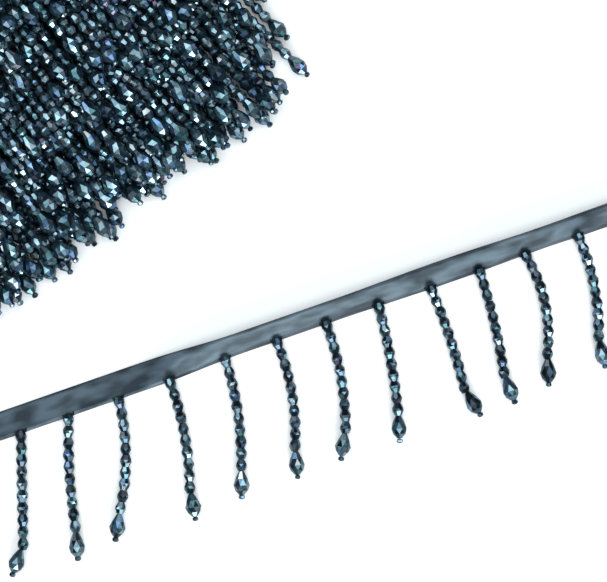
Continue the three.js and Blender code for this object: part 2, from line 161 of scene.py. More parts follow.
# %% Lights
LIGHT_COLOUR = (0.93, 0.98, 1.0)
LIGHTS = [
    # name, azimuth and elevation in degrees, width seen from the table in degrees, strength
    ("overhead", 60, 80, 76, 2.5),
    ("front", 245, 22, 36, 3.5),
    ("left", 140, 40, 26, 0.5),
    ("right", 320, 40, 22, 0.5),
    ("back", 70, 30, 20, 0.5),
]


def soft_light(name, azimuth, elevation, width, strength):
    data = bpy.data.lights.new(name, "SUN")
    data.angle = math.radians(width)
    data.energy = strength
    data.color = LIGHT_COLOUR
    light = bpy.data.objects.new(name, data)
    turn = math.radians(azimuth)
    rise = math.radians(elevation)
    level = math.cos(rise)
    direction = Vector((math.cos(turn) * level, math.sin(turn) * level, math.sin(rise)))
    light.rotation_euler = direction.to_track_quat("Z", "Y").to_euler()
    light.visible_camera = False
    bpy.context.scene.collection.objects.link(light)


for row in LIGHTS:
    soft_light(*row)

print(len(LIGHTS), "lights")

# %% [markdown]
# ## Background
# A white backdrop would also be mirrored in every facet and wash the colours out. So the rays
# that the camera sends see a white background, and all other rays see a dim and bluish one.

# %% Background
BACKDROP = (1.0, 1.0, 1.0, 1)
DIM_ROOM = (0.80, 0.90, 1.0, 1)
DIM_STRENGTH = 0.10

world = bpy.data.worlds.new("studio")
bpy.context.scene.world = world
world.use_nodes = True
world_nodes = world.node_tree.nodes
world_links = world.node_tree.links
background = world_nodes["Background"]
background.inputs["Color"].default_value = BACKDROP
background.inputs["Strength"].default_value = 1.0
dim = world_nodes.new("ShaderNodeBackground")
dim.inputs["Color"].default_value = DIM_ROOM
dim.inputs["Strength"].default_value = DIM_STRENGTH
rays = world_nodes.new("ShaderNodeLightPath")
choice = world_nodes.new("ShaderNodeMixShader")
world_links.new(rays.outputs["Is Camera Ray"], choice.inputs["Fac"])
world_links.new(dim.outputs["Background"], choice.inputs[1])
world_links.new(background.outputs["Background"], choice.inputs[2])
world_links.new(choice.outputs["Shader"], world_nodes["World Output"].inputs["Surface"])
bpy.context.scene.view_settings.view_transform = "Standard"
print("the background is dim for the glass, at", DIM_STRENGTH)

# %% [markdown]
# ## The trim
# These are the sizes that a maker would give: a 10 mm tape, and on each strand ten 4 mm beads,
# a drop and a seed bead that stops the thread. The places along a strand are worked out here.

# %% Sizes of the trim
TAPE_WIDTH = 10.4
TAPE_THICKNESS = 0.34
STRAND_SPACING = 20.0
BEAD_COUNT = 10
BEAD_PITCH = 4.35
BEAD_RADIUS = 2.1
DROP_LENGTH = 9.0
DROP_RADIUS = 3.1
DROP_BELLY_SHARE = 0.58
SEED_RADIUS = 1.15
SEED_GAP = 0.7
FIRST_BEAD = 0.9
random = np.random.default_rng(11)

bead_places = FIRST_BEAD + BEAD_PITCH * np.arange(BEAD_COUNT)
drop_start = bead_places[-1] + BEAD_PITCH / 2
drop_belly = drop_start + DROP_LENGTH * DROP_BELLY_SHARE
seed_place = drop_start + DROP_LENGTH + SEED_GAP
print("a strand hangs", round(seed_place + SEED_RADIUS, 1), "mm below the tape")

# %% [markdown]
# ## Winding the coil
# A coil of tape could be made with a screw modifier, but a flattened coil whose turns wander to
# and fro needs its own rule. The rule here walks round an oval that shrinks as it goes inwards.
# The tape is level-wound: the outer turns stay at the back, and the inner ones swing forward
# and back. That is what spreads the bead tips over the whole depth of the heap.

# %% Coil rule
TURNS = 26
STEPS_PER_TURN = 90
TURN_PITCH_UP = 0.7
TURN_PITCH_ACROSS = 1.1
TAPE_INSET = 0.2
SWING_TURNS = 2.37
SWING_START = 1.0
SWING_UNEVENNESS = 0.9
UNEVEN_RATE = 0.7
OUTER_SWING = 0.10
OUTER_TURNS = (3.0, 6.0)
EXIT_TURNS = 0.5
BACK_EDGE = 2.0
BACK_DISH = 7.0
FRONT_LIMIT = -79.0
FRONT_SLANT = -0.059
SINK_RATE = 0.0092
NARROWING = 0.17
NARROWING_START = 10


def smooth(value, low, high):
    share = np.clip((np.asarray(value, float) - low) / (high - low), 0, 1)
    return share * share * (3 - 2 * share)


def oval(turn):
    """The coil's section: across and up, for a number of turns inwards from the bottom left."""
    radius = COIL_HALF_HEIGHT - TAPE_INSET - TURN_PITCH_UP * turn
    straight = COIL_HALF_WIDTH - TAPE_INSET - TURN_PITCH_ACROSS * turn - radius
    arc = np.pi * radius
    walked = (turn % 1.0) * (4 * straight + 2 * arc)
    along_bottom = np.clip(walked, 0, 2 * straight)
    right_angle = np.clip((walked - 2 * straight) / radius, 0, np.pi)
    along_top = np.clip(walked - 2 * straight - arc, 0, 2 * straight)
    left_angle = np.clip((walked - 4 * straight - arc) / radius, 0, np.pi)
    x = along_bottom - straight - along_top + radius * (np.sin(right_angle) - np.sin(left_angle))
    z = -radius * np.cos(right_angle) + radius * (np.cos(left_angle) - 1)
    return x, z + COIL_HALF_HEIGHT


def front_edge(turn, x):
    """Where the tape's beaded edge lies, from back to front, for a number of turns inwards."""
    share = OUTER_SWING + (1 - OUTER_SWING) * smooth(turn, *OUTER_TURNS)
    phase = 2 * np.pi * turn / SWING_TURNS + SWING_UNEVENNESS * np.sin(UNEVEN_RATE * turn)
    phase = phase + SWING_START
    back = BACK_EDGE - BACK_DISH * turn / TURNS
    front = FRONT_LIMIT + FRONT_SLANT * x
    edge = back + (front - back) * share * (0.5 - 0.5 * np.cos(phase))
    return edge * smooth(turn, 0, EXIT_TURNS)


def coil_points(turn):
    """The middle line of the wound tape, which sinks and draws in where it swings forward."""
    x, z = oval(turn)
    edge = front_edge(turn, x)
    x = x * (1 - NARROWING * smooth(-edge, NARROWING_START, -FRONT_LIMIT))
    z = z * (1 - SINK_RATE * np.maximum(0, -edge))
    return np.stack([x, edge + TAPE_WIDTH / 2, z], axis=-1)


turn_steps = np.linspace(TURNS, 0, TURNS * STEPS_PER_TURN + 1)
coil_line = coil_points(turn_steps)
coil_walk = np.concatenate([[0], np.cumsum(np.linalg.norm(np.diff(coil_line, axis=0), axis=1))])
print("the coil holds", round(coil_walk[-1] / MM_PER_METRE, 2), "m of tape")

# %% [markdown]
# ## The loose end
# The loose end leaves the coil at its left, is folded over once at 45 degrees, comes forward
# face down, bends to the right and then lies straight. A curve object could carry it, but a
# function that gives a point for each length walked is easier to fold and to measure.

# %% Route of the loose end
FOLD_X = -127.8
FOLD_RADIUS = 0.5
SIDE_RUN = 117.3
BEND_RADIUS = 45.0
BEND_ANGLE = math.radians(69.2)
FRONT_RUN = 265.4
BEND_END = SIDE_RUN + BEND_RADIUS * BEND_ANGLE
LOOSE_LENGTH = BEND_END + FRONT_RUN
TAPE_LIFT = 0.06
REST_HEIGHT = TAPE_THICKNESS / 2 + TAPE_LIFT


def route(walked):
    """Middle point and the direction towards the beaded edge, past the fold."""
    walked = np.asarray(walked, float)
    turned = np.clip((walked - SIDE_RUN) / BEND_RADIUS, 0, BEND_ANGLE)
    heading = -np.pi / 2 + turned
    forward = np.stack([np.cos(heading), np.sin(heading)], axis=-1)
    beaded = np.stack([forward[..., 1], -forward[..., 0]], axis=-1)
    before = np.minimum(walked, SIDE_RUN)
    point = np.stack([np.full_like(walked, FOLD_X), TAPE_WIDTH / 2 - before], axis=-1)
    bending = (walked > SIDE_RUN)[..., None]
    around = np.array([BEND_RADIUS, 0.0]) + beaded * BEND_RADIUS
    beyond = forward * np.maximum(0, walked - BEND_END)[..., None]
    point = point + np.where(bending, around + beyond, 0.0)
    return point, beaded


print("past the fold the loose end is", round(LOOSE_LENGTH), "mm long")

# %% [markdown]
# ## Twist and fold
# The photograph shows the straight run turn up its plain edge, so that it looks narrower there.
# A fold is easy to get wrong: both layers have to meet along a slanting crease with no gap. Here
# the cloth is rolled round a thin imaginary rod that lies along the crease, which keeps every
# length as it was cut.

# %% Twist and fold
TWISTS = [
    # from and to in millimetres past the bend, and how far the tape twists there in degrees
    (52, 98, 41),
    (138, 180, -10),
    (186, 216, 10),
    (222, 242, -4),
]
FOLD_SETTLES = 34
RIPPLE_HEIGHT = 0.15
RIPPLE_LENGTH = 7.3
RIPPLE_STARTS = (30, 60)
CROSS_BOW = 0.25
TWISTED_BOW = 0.5


def edge_tilt(walked):
    """How far the plain edge is lifted as the tape twists a little on the front run."""
    along = np.asarray(walked, float) - BEND_END
    lifted = sum(by * smooth(along, start, end) for start, end, by in TWISTS)
    return np.radians(np.where(along > 0, lifted, 0.0))


def loose_surface(walked, across):
    """A point of the tape past the fold; across runs from the plain edge to the beaded one."""
    point, beaded = route(walked)
    tilt = edge_tilt(walked)
    settled = smooth(walked, TAPE_WIDTH, FOLD_SETTLES)
    ripple = RIPPLE_HEIGHT * np.sin(walked / RIPPLE_LENGTH) ** 2 * smooth(walked, *RIPPLE_STARTS)
    height = REST_HEIGHT + 2 * FOLD_RADIUS * (1 - settled) + ripple
    height = height + (TAPE_WIDTH / 2 - across) * np.sin(tilt)
    bow = 1 - (2 * across / TAPE_WIDTH) ** 2
    height = height + bow * (CROSS_BOW + TWISTED_BOW * np.sin(tilt))
    flat = point + beaded * (across * np.cos(tilt))[..., None]
    return np.concatenate([flat, height[..., None]], axis=-1)


def folded_surface(depth, across):
    """A point of the tape before or in the fold; depth is the distance beyond the crease."""
    bend = np.pi * FOLD_RADIUS
    turn = np.clip((depth + bend / 2) / FOLD_RADIUS, 0, np.pi)
    flat = np.minimum(0, depth + bend / 2) - bend / 2
    lateral = flat + FOLD_RADIUS * np.sin(turn)
    x = FOLD_X - across - lateral * math.sqrt(0.5)
    y = TAPE_WIDTH / 2 - across + lateral * math.sqrt(0.5)
    z = np.broadcast_to(REST_HEIGHT + FOLD_RADIUS * (1 - np.cos(turn)), x.shape)
    return np.stack([x, y, z], axis=-1)


print("the plain edge is lifted by", TWISTS[0][2], "degrees at first")

# %% [markdown]
# ## The tape's surface
# The tape is one long grid of points: across it run seven columns, and along it the rows of the
# coil, of the first run, of the fold and of the loose end follow each other. A curve with a flat
# bevel could make a ribbon as well, but a grid says exactly where both edges lie.

# %% Tape grid
COLUMN_COUNT = 7
COLUMNS = np.linspace(-TAPE_WIDTH / 2, TAPE_WIDTH / 2, COLUMN_COUNT)
FIRST_RUN_STEP = 3.0
ROOM_FOR_FOLD = 12
FIRST_RUN_END = FOLD_X + ROOM_FOR_FOLD
FOLD_STEPS = 9
FOLD_LEAD = 3.0
SKEWED_ROWS = 4
SKEWED_STRETCH = (1.2, 9.0)
LAST_SKEW = 0.4
SQUARE_START = 12
LOOSE_STEP = 1.6
END_MARGIN = 0.01


def unit(vectors):
    return vectors / np.linalg.norm(vectors, axis=-1)[..., None]


def coil_rows():
    along = unit(np.gradient(coil_line, axis=0))
    beaded = unit(np.array([0.0, -1.0, 0.0]) + along * along[:, 1:2])
    return coil_line[:, None, :] + COLUMNS[None, :, None] * beaded[:, None, :], beaded


def first_run_rows():
    start = coil_line[-1, 0]
    x = np.arange(start - FIRST_RUN_STEP, FIRST_RUN_END, -FIRST_RUN_STEP)
    rows = np.zeros((len(x), len(COLUMNS), 3))
    rows[..., 0] = x[:, None]
    rows[..., 1] = TAPE_WIDTH / 2 - COLUMNS[None, :]
    rows[..., 2] = REST_HEIGHT
    return rows


def fold_rows():
    bend = np.pi * FOLD_RADIUS
    depths = np.concatenate([[-FOLD_LEAD], np.linspace(-bend / 2, bend / 2, FOLD_STEPS)])
    return folded_surface(depths[:, None], COLUMNS[None, :] + 0 * depths[:, None])


def loose_rows():
    skews = np.linspace(1, LAST_SKEW, SKEWED_ROWS)[:, None]
    skewed = np.linspace(*SKEWED_STRETCH, SKEWED_ROWS)[:, None] + COLUMNS[None, :] * skews
    square = np.arange(SQUARE_START, LOOSE_LENGTH + END_MARGIN, LOOSE_STEP)[:, None]
    square = square + 0 * COLUMNS[None, :]
    walked = np.concatenate([skewed, square])
    return loose_surface(walked, COLUMNS[None, :] + 0 * walked)


wound, coil_beaded = coil_rows()
grid = np.concatenate([wound, first_run_rows(), fold_rows(), loose_rows()])
row_steps = np.linalg.norm(np.diff(grid[:, 3], axis=0), axis=1)
row_walk = np.concatenate([[0], np.cumsum(row_steps)])

# %% [markdown]
# ## Giving the tape a thickness
# Woven ribbon has two faces and firm edges. A solidify modifier could make them, but here the
# edges can be a little thicker than the middle. The grid is moved half a thickness to each side
# along its own normals, and six bands of faces close it.

# %% Tape mesh
SELVEDGE_EXTRA = 0.35
SELVEDGE_SHARE = 0.45


def link_mesh(name, vertices, faces):
    mesh = bpy.data.meshes.new(name)
    mesh.from_pydata([tuple(vertex) for vertex in vertices], [], [tuple(face) for face in faces])
    mesh.update()
    piece = bpy.data.objects.new(name, mesh)
    bpy.context.scene.collection.objects.link(piece)
    return piece


def grid_normals(points):
    along = np.gradient(points, axis=0)
    across = np.gradient(points, axis=1)
    return unit(np.cross(along, across))


def thick_grid(name, points, thickness):
    """A closed sheet round a grid of points, with its length and width kept as an attribute."""
    rows, columns = points.shape[:2]
    normal = grid_normals(points)
    offset = normal * thickness[None, :, None] / 2
    vertices = np.concatenate([(points + offset).reshape(-1, 3), (points - offset).reshape(-1, 3)])
    index = np.arange(rows * columns).reshape(rows, columns)
    below = index + rows * columns
    top = np.stack([index[:-1, :-1], index[1:, :-1], index[1:, 1:], index[:-1, 1:]], axis=-1)
    bottom = np.stack([below[:-1, :-1], below[:-1, 1:], below[1:, 1:], below[1:, :-1]], axis=-1)
    left = np.stack([index[:-1, 0], below[:-1, 0], below[1:, 0], index[1:, 0]], axis=-1)
    right = np.stack([index[:-1, -1], index[1:, -1], below[1:, -1], below[:-1, -1]], axis=-1)
    start = np.stack([index[0, :-1], index[0, 1:], below[0, 1:], below[0, :-1]], axis=-1)
    end = np.stack([index[-1, :-1], below[-1, :-1], below[-1, 1:], index[-1, 1:]], axis=-1)
    faces = np.concatenate([side.reshape(-1, 4) for side in (top, bottom, left, right, start, end)])
    piece = link_mesh(name, to_metres(vertices), faces)
    cut = np.zeros((rows, columns, 3))
    cut[..., 0] = row_walk[:, None]
    cut[..., 1] = COLUMNS[None, :]
    attribute = piece.data.attributes.new("cut", "FLOAT_VECTOR", "POINT")
    attribute.data.foreach_set("vector", np.concatenate([cut, cut]).ravel())
    for polygon in piece.data.polygons:
        polygon.use_smooth = True
    return piece


at_edge = np.abs(COLUMNS) > TAPE_WIDTH * SELVEDGE_SHARE
firm_edges = TAPE_THICKNESS * (1 + SELVEDGE_EXTRA * at_edge)
tape = thick_grid("satin_tape", grid, firm_edges)
print("the tape mesh has", len(tape.data.polygons), "faces")

# %% [markdown]
# ## The tape's finish
# Satin shines because its threads float along the tape for a long way. Handled ribbon has soft
# slanting creases, and each catches the light in its own way. So one slow noise, stretched and
# turned by 24 degrees, drives the colour, the gloss, the shine and a soft relief together; in the
# colour it paints shade in the dark patches and light in the pale ones. It is drawn in the tape's
# own length and width, kept as an attribute, so it follows the cloth round the coil and through
# the fold. The sewn edges are darker.

# %% Creases and colour
CREASE_SLANT = math.radians(24)
CREASE_SCALE = (0.08, 0.20, 1.0)
SATIN_IN_PAINTED_SHADE = (0.006, 0.009, 0.016, 1)
SATIN_IN_PAINTED_LIGHT = (0.040, 0.059, 0.080, 1)
SELVEDGE_STARTS = TAPE_WIDTH / 2 - 0.7
SELVEDGE_ENDS = TAPE_WIDTH / 2 - 0.2


def map_range(nodes, links, value, low, high, start=0.0, end=1.0):
    """Map a value that runs from start to end onto low to high."""
    node = nodes.new("ShaderNodeMapRange")
    node.inputs["From Min"].default_value = start
    node.inputs["From Max"].default_value = end
    node.inputs["To Min"].default_value = low
    node.inputs["To Max"].default_value = high
    links.new(value, node.inputs["Value"])
    return node.outputs["Result"]


def crease_noise(nodes, links, cut):
    slanted = nodes.new("ShaderNodeMapping")
    slanted.inputs["Rotation"].default_value = (0, 0, CREASE_SLANT)
    slanted.inputs["Scale"].default_value = CREASE_SCALE
    noise = nodes.new("ShaderNodeTexNoise")
    noise.inputs["Scale"].default_value = 1.0
    noise.inputs["Detail"].default_value = 1.5
    links.new(cut, slanted.inputs["Vector"])
    links.new(slanted.outputs["Vector"], noise.inputs["Vector"])
    return noise.outputs["Fac"]


def satin_colour_and_painted_shade(nodes, links, cut, creases):
    # painted shade and light: the crease noise runs the satin's colour from dark to pale
    tone = nodes.new("ShaderNodeValToRGB")
    tone.color_ramp.elements[0].position = 0.36
    tone.color_ramp.elements[0].color = SATIN_IN_PAINTED_SHADE
    tone.color_ramp.elements[1].position = 0.64
    tone.color_ramp.elements[1].color = SATIN_IN_PAINTED_LIGHT
    links.new(creases, tone.inputs["Fac"])
    split = nodes.new("ShaderNodeSeparateXYZ")
    links.new(cut, split.inputs["Vector"])
    from_middle = nodes.new("ShaderNodeMath")
    from_middle.operation = "ABSOLUTE"
    links.new(split.outputs["Y"], from_middle.inputs[0])
    across = from_middle.outputs["Value"]
    selvedge = map_range(nodes, links, across, 1.0, 0.4, SELVEDGE_STARTS, SELVEDGE_ENDS)
    darker = nodes.new("ShaderNodeVectorMath")
    darker.operation = "SCALE"
    links.new(tone.outputs["Color"], darker.inputs[0])
    links.new(selvedge, darker.inputs["Scale"])
    return darker.outputs["Vector"]


print("the creases lie at", round(math.degrees(CREASE_SLANT)), "degrees to the tape")

# %% [markdown]
# ## Weave
# Close up, satin has fine threads along it and finer ones across. They are far too small to
# model, so two waves make a tiny bump. It lies on top of a larger bump for the creases.

# %% Weave
CREASE_DEPTH = 0.0012
WEAVE_DEPTH = 0.00006


def thread_wave(nodes, links, cut, direction, scale, distortion):
    wave = nodes.new("ShaderNodeTexWave")
    wave.wave_type = "BANDS"
    wave.bands_direction = direction
    wave.inputs["Scale"].default_value = scale
    wave.inputs["Distortion"].default_value = distortion
    links.new(cut, wave.inputs["Vector"])
    return wave.outputs["Fac"]


def satin_relief(nodes, links, cut, creases):
    weave = nodes.new("ShaderNodeMath")
    weave.operation = "ADD"
    links.new(thread_wave(nodes, links, cut, "Y", 1.6, 1.2), weave.inputs[0])
    links.new(thread_wave(nodes, links, cut, "X", 0.9, 0.6), weave.inputs[1])
    crease = nodes.new("ShaderNodeBump")
    crease.inputs["Strength"].default_value = 0.6
    crease.inputs["Distance"].default_value = CREASE_DEPTH
    links.new(creases, crease.inputs["Height"])
    bump = nodes.new("ShaderNodeBump")
    bump.inputs["Strength"].default_value = 0.25
    bump.inputs["Distance"].default_value = WEAVE_DEPTH
    links.new(weave.outputs["Value"], bump.inputs["Height"])
    links.new(crease.outputs["Normal"], bump.inputs["Normal"])
    return bump.outputs["Normal"]


print("the weave is", round(WEAVE_DEPTH * MM_PER_METRE, 2), "mm deep")

# %% [markdown]
# ## Dressing the tape
# The shine is tinted blue, because it comes from the coloured threads and not from a clear skin.
# A little sheen softens the edges. The tape then rides on the body and takes the place of the two
# plain solids.

# %% Satin
def satin_material():
    material, nodes, links, shader = new_material("satin")
    attribute = nodes.new("ShaderNodeAttribute")
    attribute.attribute_name = "cut"
    cut = attribute.outputs["Vector"]
    creases = crease_noise(nodes, links, cut)
    links.new(satin_colour_and_painted_shade(nodes, links, cut, creases), shader.inputs["Base Color"])
    links.new(satin_relief(nodes, links, cut, creases), shader.inputs["Normal"])
    links.new(map_range(nodes, links, creases, 0.24, 0.42), shader.inputs["Roughness"])
    shine = map_range(nodes, links, creases, 0.34, 0.62, 0.38, 0.62)
    links.new(shine, shader.inputs["Specular IOR Level"])
    shader.inputs["Specular Tint"].default_value = (0.66, 0.86, 0.95, 1)
    shader.inputs["Sheen Weight"].default_value = 0.12
    shader.inputs["Sheen Roughness"].default_value = 0.4
    shader.inputs["Sheen Tint"].default_value = (0.7, 0.85, 1.0, 1)
    return material


tape.data.materials.append(satin_material())
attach(tape, "root")
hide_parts("rolled_tape", "loose_tape")
print("the tape has its satin")

# %% [markdown]
# ## Laying the strands
# The strands of the roll are not modelled one by one, nor scattered at random: they are dropped.
# Each strand starts at the tape's edge and falls onto the strands that lie under it already. A
# rigid body simulation of five thousand beads would take far too long, so a simple rule does it.
# The rule has a known fault: it doesn't feel the tape, so inside the roll many beads pass through
# the tape's turns. The strands are taken from the lowest to the highest, so first their roots are
# found on the tape's edge and sorted by height. One more strand has slid out at the right, as the
# photograph shows.

# %% Strand roots on the roll
FIRST_ROLLED_STRAND = 12.0
LAST_MARGIN = 6
SPACING_JITTER = 1.2
STRAY_ROOT = (73.2, -77.2, 1.0)

wound_beads = np.arange(FIRST_ROLLED_STRAND, coil_walk[-1] - LAST_MARGIN, STRAND_SPACING)
wound_beads = wound_beads + random.uniform(-SPACING_JITTER, SPACING_JITTER, len(wound_beads))


def between(places, walk, values):
    return np.stack([np.interp(places, walk, values[:, axis]) for axis in range(3)], axis=-1)


edge_line = coil_line + coil_beaded * (TAPE_WIDTH / 2)
roots = between(wound_beads, coil_walk, edge_line)
root_ways = between(wound_beads, coil_walk, np.gradient(coil_line, axis=0))
root_inwards = -between(wound_beads, coil_walk, coil_beaded)
roots = np.concatenate([roots, [STRAY_ROOT]])
root_ways = np.concatenate([root_ways, [(1.0, 0.0, 0.0)]])
root_inwards = np.concatenate([root_inwards, [(0.0, 1.0, 0.0)]])
lowest_first = np.argsort(roots[:, 2])
roots = roots[lowest_first]
root_ways = root_ways[lowest_first]
root_inwards = root_inwards[lowest_first]
print(len(roots), "strands on the roll")

# %% [markdown]
# ## A rule for resting
# Each bead is treated as a ball. Seen from above, a ball that comes within reach of one that
# lies there already rests on it, and otherwise on the table. The reach is shorter than the two
# radii together. That packs the heap closer, but it also lets neighbours sink into each other, by
# up to 0.6 mm, or 0.9 mm at a drop.

# %% Settling rule
DROP_NECK_PLACE = 2.6
DROP_NECK_RADIUS = 2.0
ELEMENTS = np.concatenate([bead_places, [drop_start + DROP_NECK_PLACE, drop_belly, seed_place]])
ELEMENT_GAPS = np.diff(np.concatenate([[0], ELEMENTS]))
ELEMENT_RADII = np.array([BEAD_RADIUS] * BEAD_COUNT + [DROP_NECK_RADIUS, DROP_RADIUS, SEED_RADIUS])
SIDESTEP_LENGTH = 20.0
CLOSENESS = 0.86
FLOOR_GAP = 0.12


def plan(root, heading, sidestep, distances):
    """Where a strand's elements lie seen from above, when it shifts sideways near its root."""
    aside = sidestep * smooth(distances, 0, SIDESTEP_LENGTH)
    x = root[0] + np.cos(heading) * distances + np.sin(heading) * aside
    y = root[1] + np.sin(heading) * distances - np.cos(heading) * aside
    return np.stack([x, y], axis=-1)


def support(places, near, near_radii):
    """The lowest height at which each element rests on the floor or on what lies there."""
    heights = ELEMENT_RADII + FLOOR_GAP
    if len(near):
        apart = np.linalg.norm(places[:, None] - near[None, :, :2], axis=-1)
        reach = CLOSENESS * (ELEMENT_RADII[:, None] + near_radii[None, :])
        rise = np.sqrt(np.maximum(0, reach**2 - apart**2))
        resting = np.where(apart < reach, near[None, :, 2] + rise, 0)
        heights = np.maximum(heights, resting.max(axis=1))
    return heights


print("a strand has", len(ELEMENTS), "places that rest on something")

# %% [markdown]
# ## A thread that bends only so far
# By the rule of rest alone a strand would dip into each hollow like a row of loose balls. Its
# thread holds it: no bead drops steeply from the one before it, and none sags far below its
# neighbours. A strand that climbs or drops also covers less ground.

# %% Stiff strands
STEEPEST = 0.75
DEEPEST_SAG = 0.55
STIFFENING_ROUNDS = 3
SETTLING_ROUNDS = 2
ROOT_STEEPNESS = 0.8
ROOT_SLACK = 1.0
ROOT_DROP = 2
LEAST_FLAT_SHARE = 0.5


def stiffen(heights, root_height):
    """A strand bridges small hollows: it can't drop or bend more than its thread allows."""
    heights = heights.copy()
    drops = STEEPEST * ELEMENT_GAPS
    for _ in range(STIFFENING_ROUNDS):
        heights[0] = max(heights[0], root_height - ROOT_STEEPNESS * ELEMENT_GAPS[0] - ROOT_SLACK)
        for index in range(1, len(heights)):
            heights[index] = max(heights[index], heights[index - 1] - drops[index])
        for index in range(len(heights) - 2, -1, -1):
            heights[index] = max(heights[index], heights[index + 1] - drops[index + 1])
        middle = (heights[:-2] + heights[2:]) / 2 - DEEPEST_SAG
        heights[1:-1] = np.maximum(heights[1:-1], middle)
    return heights


def settle(root, heading, sidestep, near, near_radii):
    flat_gaps = ELEMENT_GAPS
    least = (LEAST_FLAT_SHARE * ELEMENT_GAPS) ** 2
    for _ in range(SETTLING_ROUNDS):
        places = plan(root, heading, sidestep, np.cumsum(flat_gaps))
        heights = stiffen(support(places, near, near_radii), root[2])
        rises = np.diff(np.concatenate([[min(root[2], heights[0] + ROOT_DROP)], heights]))
        flat_gaps = np.sqrt(np.maximum(ELEMENT_GAPS**2 - rises**2, least))
    return np.concatenate([places, heights[:, None]], axis=1)


print("a strand drops", STEEPEST, "mm in each millimetre at most")

# %% [markdown]
# ## Dropping the strands
# The strands fan out a little towards the coil's ends. Each one tries some steps to the side and
# keeps the one in which it lies lowest. A large step has its price, or the strands would all
# slide off the heap. Only what lies close by is looked at, to save time.

# %% Drop the strands
FAN = math.radians(7)
HEADING_JITTER = math.radians(0.8)
SIDESTEPS = np.arange(-6, 6.1, 1.0)
SIDESTEP_PRICE = 0.08
NEAR_ASIDE = 26
NEAR_ALONG = 42
STRAND_MIDDLE = 27
laid_points = np.zeros((0, 3))
laid_radii = np.zeros(0)


def lay_strand(root):
    global laid_points, laid_radii
    fanned = -np.pi / 2 + FAN * root[0] / COIL_HALF_WIDTH
    heading = fanned + random.normal(0, HEADING_JITTER)
    close = np.abs(laid_points[:, 0] - root[0]) < NEAR_ASIDE
    close &= np.abs(laid_points[:, 1] - root[1] + STRAND_MIDDLE) < NEAR_ALONG
    near = laid_points[close]
    near_radii = laid_radii[close]
    best = None
    for sidestep in SIDESTEPS:
        beads = settle(root, heading, sidestep, near, near_radii)
        cost = beads[:, 2].mean() + SIDESTEP_PRICE * abs(sidestep)
        if best is None or cost < best[0]:
            best = (cost, beads)
    laid_points = np.concatenate([laid_points, best[1]])
    laid_radii = np.concatenate([laid_radii, ELEMENT_RADII])
    return best[1]


rolled_strands = np.array([lay_strand(root) for root in roots])
print("the heap is", round(rolled_strands[..., 2].max() + BEAD_RADIUS, 1), "mm high")

# %% [markdown]
# ## The loose strands
# In front each strand can be seen by itself, so those follow the photograph: a short table says
# where each hangs and how it leans at its root, at its last bead and at its drop. The strands at
# the side and at the fold are outside the picture, so their places and leans are a guess. Three
# slow waves give the side ones their leans.

# %% Loose strand table
LEFT_STRETCH = 1.045
RIGHT_STRETCH = 0.955
FRONT_STRANDS = [
    # distance from the bend's end, then the lean from square at root, last bead and drop
    (9.5, -18, -18, -44),
    (28.6, -22, -10, -15),
    (48.6, -4, -31, -27),
    (69.1, 2, -18, -6),
    (91.6, 0, -20, -18),
    (112.2, 5, -22, -12),
    (132.0, 3, -19, -30),
    (153.0, -4, -13, -17),
    (173.8, 5, -6, 17),
    (193.3, 0, -11, 4),
    (211.6, 15, -26, -15),
    (232.8, 7, -21, -4),
    (253.0, 1, -16, -9),
]
FIRST_RUN_STRAND = 12.5
FIRST_RUN_LEANS = (0, 2, -6)
SIDE_STRAND_COUNT = 9
FIRST_SIDE_STRAND = 8.6
SIDE_SPACING = 19.3
SIDE_LEANS = [
    # middle and spread in degrees, then the rate and start of a wave along the run
    (-6, 5, 1.7, 0),
    (-12, 7, 2.9, 1),
    (-10, 16, 4.1, 0),
]


def side_strand(index):
    leans = [
        middle + spread * math.sin(rate * index + start)
        for middle, spread, rate, start in SIDE_LEANS
    ]
    return (FIRST_SIDE_STRAND + index * SIDE_SPACING, *leans)


print(len(FRONT_STRANDS), "strands in front,", SIDE_STRAND_COUNT, "at the side, 1 at the fold")

# %% [markdown]
# ## Bending a loose strand
# A thread full of beads bends evenly, so a strand turns bit by bit from its root's heading to
# its last bead's, and the drop swings at its end. It lies flat on the table, but the fat drop
# lifts the last beads a little, and the first bead lies on the tape's edge.

# %% Loose strands
SWING_BEFORE = 1
SWING_AFTER = 5
LIFTED_LENGTH = 16
ROOT_LIFT = 0.5
ROOT_LIFT_LENGTH = 5
SEED_LIFT = 1.0


def loose_strand(root, square, leans, stretch=1.0):
    """A strand flat on the table, which turns from its root's heading to its last bead's."""
    first, last, drop = [square + math.radians(lean) for lean in leans]
    share = np.clip(ELEMENTS / drop_start, 0, 1)
    swing = smooth(ELEMENTS, drop_start - SWING_BEFORE, drop_start + SWING_AFTER)
    heading = first + (last - first) * share
    heading = heading + (drop - heading) * swing
    gaps = ELEMENT_GAPS.copy()
    gaps[1:BEAD_COUNT + 1] *= stretch
    x = root[0] + np.cumsum(np.cos(heading) * gaps)
    y = root[1] + np.cumsum(np.sin(heading) * gaps)
    lifted = smooth(ELEMENTS, drop_belly - LIFTED_LENGTH, drop_belly) * (DROP_RADIUS - BEAD_RADIUS)
    over_tape = ROOT_LIFT * (1 - smooth(ELEMENTS, 0, ROOT_LIFT_LENGTH))
    z = BEAD_RADIUS + FLOOR_GAP + lifted + over_tape
    z[-1] = SEED_RADIUS + SEED_LIFT
    return np.stack([x, y, z], axis=-1)


def strand_on_route(walked, leans):
    """The strands at the right hold slightly smaller beads than those at the left."""
    beaded = route(np.array(walked))[1]
    root = loose_surface(np.array(walked), np.array(TAPE_WIDTH / 2))
    share = np.clip((walked - BEND_END) / FRONT_RUN, 0, 1)
    stretch = LEFT_STRETCH + (RIGHT_STRETCH - LEFT_STRETCH) * share
    way = loose_surface(np.array(walked + 1.0), np.array(TAPE_WIDTH / 2)) - root
    inwards = loose_surface(np.array(walked), np.array(TAPE_WIDTH / 2 - 1)) - root
    strand = loose_strand(root, math.atan2(beaded[1], beaded[0]), leans, stretch)
    return strand, root, way, inwards


